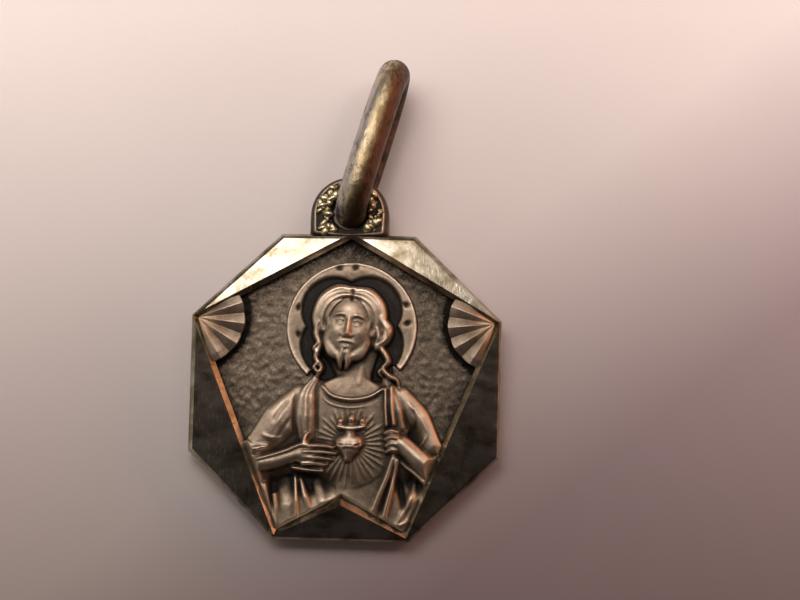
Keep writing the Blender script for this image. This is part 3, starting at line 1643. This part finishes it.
@dataclass
class Figure:
    """The half-figure with its halo, as one struck relief."""

    plate: Plate
    halo: Halo = field(default_factory=Halo)
    rays: Rays = field(default_factory=Rays)
    pose: Pose = Pose((0.13, 2.95), -6.0)
    left: float = -5.7
    right: float = 5.7
    low: float = -7.5
    high: float = 6.6
    pitch: float = 0.03
    slab: float = 0.2
    collar_level: float = 0.12
    softening: int = 1
    dirt: float = 0.3
    dirt_depth: float = 0.28
    least_height: float = 0.04
    by_frame: float = 0.4
    frame_slope: float = 1.5
    under_frame: float = 0.25

    def build(self, bench: Bench, finish: bpy.types.Material) -> None:
        """Presses the forms in their order, from the back to the front.

        Args:
            bench: The bench.
            finish: The relief's material.
        """
        sheet = ReliefSheet(self.left, self.right, self.low, self.high, self.pitch)
        self.halo.press(sheet)
        BODY[0].press(sheet)
        covered = sheet.height > 0
        body = [*BODY[1:], *SKIRTS, *self.rays.forms(), *COLLAR, *OPEN_ARM, *CLOSED_ARM, *HEART]
        for form in [*body, *self.head()]:
            form.press(sheet)
        sheet.height = np.where(covered, np.maximum(sheet.height, self.least_height), sheet.height)
        sheet.height = np.where(sheet.height > 0, soft_average(sheet.height, self.softening), sheet.height)
        self.keep_below_frame(sheet)
        level = self.plate.field_level
        dirt = self.dirt * np.clip(1 - sheet.height / self.dirt_depth, 0, 1)
        bust = sheet.shape(level, self.slab, low=self.collar_level, tarnish=dirt)
        bench.set_down(bust, "haloed_head", finish, Slot.SILVER)
        robe = sheet.shape(level, self.slab, high=self.collar_level, tarnish=dirt)
        bench.set_down(robe, "robed_body", finish, Slot.SILVER)

    def head(self) -> Iterable[Form]:
        """Yields the head's forms at their place: the hair behind, the mirrored face, the front locks.

        Returns:
            The forms, in the order in which they are pressed.
        """
        yield from NECK
        for form in FACE_MIDDLE_BACK:
            yield form.posed(self.pose)
        for side in (1, -1):
            for form in FACE_SIDE:
                yield form.posed(replace(self.pose, side=side))
        for form in FACE_MIDDLE:
            yield form.posed(self.pose)
        yield from LOCKS

    def keep_below_frame(self, sheet: ReliefSheet) -> None:
        """Lowers the relief towards the frame, so that it meets the wall under the bright edge.

        Args:
            sheet: The relief's sheet.
        """
        inwards = sheet.inwards(closed_line(self.plate.field_outline()))
        limit = self.by_frame + self.frame_slope * inwards
        sheet.height = np.minimum(sheet.height, np.where(inwards < -self.under_frame, SUNK, limit))


# The eyelet and the ring


@dataclass
class Eyelet:
    """The arched lug over the plate, its face set with grains round the hole."""

    plate: Plate
    width: float = 4.1
    rise: float = 3.05
    hole: float = 1.8
    bridge: float = 1.0
    thickness: float = 1.0
    back: float = 0.35
    foot_overlap: float = 0.1
    shoulder: float = 0.5
    shoulder_start: float = 0.7
    ridge: float = 0.07
    ridge_place: float = 0.76
    ridge_width: float = 0.06
    hole_edge: float = 0.1
    hole_edge_end: float = 0.15
    face_polish: float = 0.14
    ridge_polish: float = 0.5
    shoulder_polish: float = 0.25
    rays: int = 144
    rings: int = 32

    def hole_height(self) -> float:
        """The height of the hole's centre over the medal's middle."""
        return self.plate.height / 2 + self.rise - self.bridge - self.hole / 2

    def outline_radius(self, angle: float) -> float:
        """The distance from the hole's centre to the lug's outline.

        Args:
            angle: The direction, anticlockwise from the right.

        Returns:
            The distance.
        """
        half = self.width / 2
        arch_drop = self.bridge + self.hole / 2 - half
        foot = self.hole_height() - self.plate.height / 2 + self.foot_overlap
        cos, sin = math.cos(angle), math.sin(angle)
        along_arch = sin * arch_drop + math.sqrt(half ** 2 - (cos * arch_drop) ** 2)
        if along_arch * sin >= arch_drop:
            return along_arch
        side = half / abs(cos) if abs(cos) > TINY else math.inf
        down = foot / -sin if sin < -TINY else math.inf
        return min(side, down)

    def build(self, bench: Bench, finish: bpy.types.Material) -> None:
        """Builds the lug from a grid bent round the hole.

        Args:
            bench: The bench.
            finish: The lug's material.
        """
        shape, polish = start_grid(self.rays, self.rings)
        for vert in shape.verts:
            angle = 2 * math.pi * (vert.co.x + 0.5)
            share = vert.co.y + 0.5
            radius = self.hole / 2 + share * (self.outline_radius(angle) - self.hole / 2)
            edge = min(1.0, max(0.0, (share - self.shoulder_start) / (1 - self.shoulder_start)))
            on_ridge = math.exp(-((share - self.ridge_place) / self.ridge_width) ** 2)
            fall = self.hole_edge * max(0.0, 1 - share / self.hole_edge_end) ** 2
            fall += self.shoulder * (1 - math.sqrt(1 - edge ** 2)) - self.ridge * on_ridge
            vert[polish] = self.face_polish + self.ridge_polish * on_ridge + self.shoulder_polish * edge
            y = self.hole_height() + radius * math.sin(angle)
            vert.co = (radius * math.cos(angle), y, self.back + self.thickness - fall)
        bmesh.ops.remove_doubles(shape, verts=shape.verts, dist=SEAM)
        wall_down(shape, self.back)
        bmesh.ops.bridge_loops(shape, edges=open_edges(shape))
        bmesh.ops.recalc_face_normals(shape, faces=shape.faces)
        bench.set_down(shape, "eyelet_lug", finish, Slot.SILVER)


@dataclass
class Grains:
    """Uneven grains, strewn over the eyelet's face round its hole."""

    eyelet: Eyelet
    count: int = 76
    size: float = 0.46
    sizes: tuple[float, float] = (0.55, 1.25)
    nearest: float = 1.05
    farthest: float = 1.62
    sweep: float = math.radians(280)
    sunk: float = 0.06
    stretch: float = 1.2
    widths: tuple[float, float] = (0.65, 1)
    heights: tuple[float, float] = (0.7, 1.1)
    low_polish: float = 0.2
    polish_rise: float = 3.0
    seed: int = 3

    def build(self, bench: Bench, finish: bpy.types.Material) -> None:
        """Strews the grains.

        Args:
            bench: The bench.
            finish: The grains' material.
        """
        shape = bmesh.new()
        polish = shape.verts.layers.float.new("polish")
        rng = np.random.default_rng(self.seed)
        centre = self.eyelet.hole_height()
        face = self.eyelet.back + self.eyelet.thickness
        for k in range(self.count):
            angle = math.pi / 2 + self.sweep * (k / (self.count - 1) - 0.5)
            radius = self.size / 2 * rng.uniform(*self.sizes)
            out = rng.uniform(self.nearest, self.farthest)
            place = (out * math.cos(angle), centre + out * math.sin(angle), face - self.sunk)
            turned = Matrix.Translation(place) @ Matrix.Rotation(rng.uniform(0, math.pi), 4, "Z")
            stretches = (self.stretch, rng.uniform(*self.widths), rng.uniform(*self.heights), 1)
            grain = bmesh.ops.create_icosphere(shape, subdivisions=3, radius=radius,
                                               matrix=turned @ Matrix.Diagonal(stretches))
            for vert in grain["verts"]:
                vert[polish] = self.low_polish + self.polish_rise * max(0.0, vert.co.z - face)
        bench.set_down(shape, "eyelet_grains", finish, Slot.SILVER)


@dataclass
class JumpRing:
    """The oval ring of round wire, standing on its edge through the eyelet."""

    wire: float = 1.6
    length: float = 9.25
    width: float = 5.2
    squareness: float = 2.5
    turn: float = math.radians(15.6)
    lean: float = math.radians(-2.0)
    steps: int = 180
    roundness: int = 12
    low_polish: float = 0.34
    polish_rise: float = 0.4
    grime: float = 0.35
    near_grime: float = 0.16
    far_grime: float = 0.2

    def lengthwise(self) -> Vector:
        """The direction along the ring, away from the medal."""
        return Vector((math.sin(self.turn), math.cos(self.turn), 0))

    def sideways(self) -> Vector:
        """The direction across the ring, to its right."""
        return Vector((math.cos(self.turn), -math.sin(self.turn), 0))

    def placing(self) -> Matrix:
        """Where the ring stands: its own length, height and thickness along the frame's directions.

        Returns:
            The matrix from the ring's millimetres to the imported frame.
        """
        low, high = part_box(Node.RING.value)
        upwards = Vector((0, 0, math.cos(self.lean))) - self.sideways() * math.sin(self.lean)
        across = self.lengthwise().cross(upwards)
        turned = Matrix((self.lengthwise(), upwards, across)).transposed().to_4x4()
        return Matrix.Translation((low + high) / 2) @ turned @ Matrix.Scale(MM, 4)

    def oval(self) -> bpy.types.Curve:
        """The ring's line, an oval with blunt ends, thickened into a round wire.

        Returns:
            The curve.
        """
        curve = bpy.data.curves.new("ring_line", "CURVE")
        curve.dimensions = "3D"
        curve.bevel_depth = self.wire / 2
        curve.bevel_resolution = self.roundness
        spline = curve.splines.new("POLY")
        spline.points.add(self.steps - 1)
        spline.use_cyclic_u = True
        half_length, half_width = (self.length - self.wire) / 2, (self.width - self.wire) / 2
        for k, point in enumerate(spline.points):
            angle = 2 * math.pi * k / self.steps
            cos, sin = (math.copysign(abs(part) ** (2 / self.squareness), part)
                        for part in (math.cos(angle), math.sin(angle)))
            point.co = (half_length * cos, half_width * sin, 0, 1)
        return curve

    def wire_shape(self) -> bmesh.types.BMesh:
        """The ring as a mesh, where it stands.

        Returns:
            The shape.
        """
        curve = self.oval()
        holder = place_object("ring_line", curve)
        bpy.context.view_layer.update()
        shape = bmesh.new()
        mesh = bpy.data.meshes.new_from_object(holder.evaluated_get(bpy.context.evaluated_depsgraph_get()))
        shape.from_mesh(mesh)
        bpy.data.objects.remove(holder)
        bpy.data.curves.remove(curve)
        bpy.data.meshes.remove(mesh)
        bmesh.ops.transform(shape, matrix=self.placing(), verts=shape.verts)
        bmesh.ops.recalc_face_normals(shape, faces=shape.faces)
        shape.normal_update()
        return shape

    def build(self, bench: Bench, finish: bpy.types.Material) -> None:
        """Builds the ring, and marks its flanks and its grimy ends.

        Args:
            bench: The bench.
            finish: The wire's material.
        """
        shape = self.wire_shape()
        for name in ("polish", "flank"):
            shape.verts.layers.float.new(name)
        polish, flank = (shape.verts.layers.float[name] for name in ("polish", "flank"))
        top = max(vert.co.z for vert in shape.verts)
        middle = sum((vert.co for vert in shape.verts), Vector()) / len(shape.verts)
        for vert in shape.verts:
            share = (vert.co - middle).dot(self.lengthwise()) / (self.length * MM) + 0.5
            grimy = max(0.0, 1 - share / self.near_grime) + max(0.0, 1 - (1 - share) / self.far_grime)
            vert[flank] = 0.5 + 0.5 * vert.normal.dot(self.sideways())
            vert[polish] = self.low_polish + self.polish_rise * vert.co.z / top - self.grime * grimy
        bench.set_down(shape, "worn_ring", finish, Slot.WIRE, seated=False)


# The setting


@dataclass(frozen=True)
class Lamp:
    """A soft square light."""

    name: str
    place: tuple[float, float, float]
    aim: tuple[float, float, float]
    width: float
    height: float
    power: float
    colour: Colour
    spread: float = math.pi

    def hang(self) -> None:
        """Adds the light to the scene."""
        light = bpy.data.lights.new(self.name, "AREA")
        light.shape = "RECTANGLE"
        light.size = self.width
        light.size_y = self.height
        light.energy = self.power
        light.color = self.colour
        light.spread = self.spread
        holder = place_object(self.name, light)
        holder.location = self.place
        aim = Vector(self.aim) - Vector(self.place)
        holder.rotation_euler = aim.to_track_quat("-Z", "Y").to_euler()


@dataclass
class Studio:
    """The paper, the lights and the camera."""

    seat: Seat
    camera_place: tuple[float, float, float] = (5.02, -7.195, 69.82)
    camera_aim: tuple[float, float, float] = (2.668, 4.759, 0.0)
    camera_up: tuple[float, float, float] = (-0.0228, 0.9853, 0.1694)
    lens: float = 60.0
    clip: tuple[float, float] = (0.001, 5.0)
    paper_half_width: float = 0.4
    surroundings: Colour = (0.034, 0.026, 0.026)
    lamps: Sequence[Lamp] = (
        Lamp("window", (-0.0435, 0.0535, 0.06), (-0.0435, 0.0535, 0), 0.103, 0.093, 0.053, (1.0, 0.89, 0.81),
             math.radians(90)),
        Lamp("second_window", (0.043, 0.035, 0.06), (0.043, 0.035, 0), 0.035, 0.05, 0.017, (1.0, 0.88, 0.8),
             math.radians(90)),
        Lamp("evening", (0.15, 0.06, 0.04), (0, 0, 0.002), 0.28, 0.08, 0.11, (1.0, 0.4, 0.2)),
        Lamp("doorway", (-0.15, 0.0, 0.07), (0, 0, 0.002), 0.2, 0.1, 0.035, (1.0, 0.93, 0.78)),
    )

    def build(self) -> None:
        """Builds the whole setting."""
        self.lay_paper()
        self.set_surroundings()
        for lamp in self.lamps:
            lamp.hang()
        self.set_camera()
        bpy.context.scene.view_settings.view_transform = "Standard"

    def lay_paper(self) -> None:
        """Lays the pale sheet that the medal lies on."""
        shape = bmesh.new()
        bmesh.ops.create_grid(shape, x_segments=1, y_segments=1, size=self.paper_half_width)
        sheet = cast(shape, "paper")
        sheet.data.materials.append(Paper().material())

    def set_surroundings(self) -> None:
        """Gives the dim room that the polished facets mirror."""
        world = bpy.data.worlds.new("room")
        world.use_nodes = True
        background = world.node_tree.nodes["Background"]
        background.inputs["Color"].default_value = (*self.surroundings, 1)
        background.inputs["Strength"].default_value = 1.0
        bpy.context.scene.world = world

    def set_camera(self) -> None:
        """Sets the camera at the photograph's angle."""
        camera = bpy.data.cameras.new("camera")
        camera.lens = self.lens
        camera.clip_start, camera.clip_end = self.clip
        holder = place_object("camera", camera)
        level = Vector((0, self.seat.to_world.translation.y, 0))
        place = Vector(self.camera_place) * MM + level
        aim = Vector(self.camera_aim) * MM + level
        back = (place - aim).normalized()
        right = Vector(self.camera_up).cross(back).normalized()
        turned = Matrix((right, back.cross(right), back)).transposed().to_4x4()
        holder.matrix_world = Matrix.Translation(place) @ turned
        bpy.context.scene.camera = holder


def main() -> None:
    """Builds the medal, its ring and the setting, in order."""
    bench = Bench(Seat.of_medal(frame["record"]))
    polished = PolishedSilver().material()
    struck = STRUCK_SILVER.material()
    plate = Plate()
    corners = plate.field_corners()
    plate.build(bench, polished)
    Ground(plate).build(bench, STIPPLED_GROUND.material())
    Shell("shell_left", corners[1], corners[2], corners[0], plate).build(bench, struck)
    Shell("shell_right", corners[4], corners[0], corners[3], plate).build(bench, struck)
    Figure(plate).build(bench, struck)
    eyelet = Eyelet(plate)
    eyelet.build(bench, struck)
    Grains(eyelet).build(bench, GOLDEN_GRAIN.material())
    JumpRing().build(bench, WornWire().material())
    Studio(bench.seat).build()


if __name__ == "__main__":
    main()
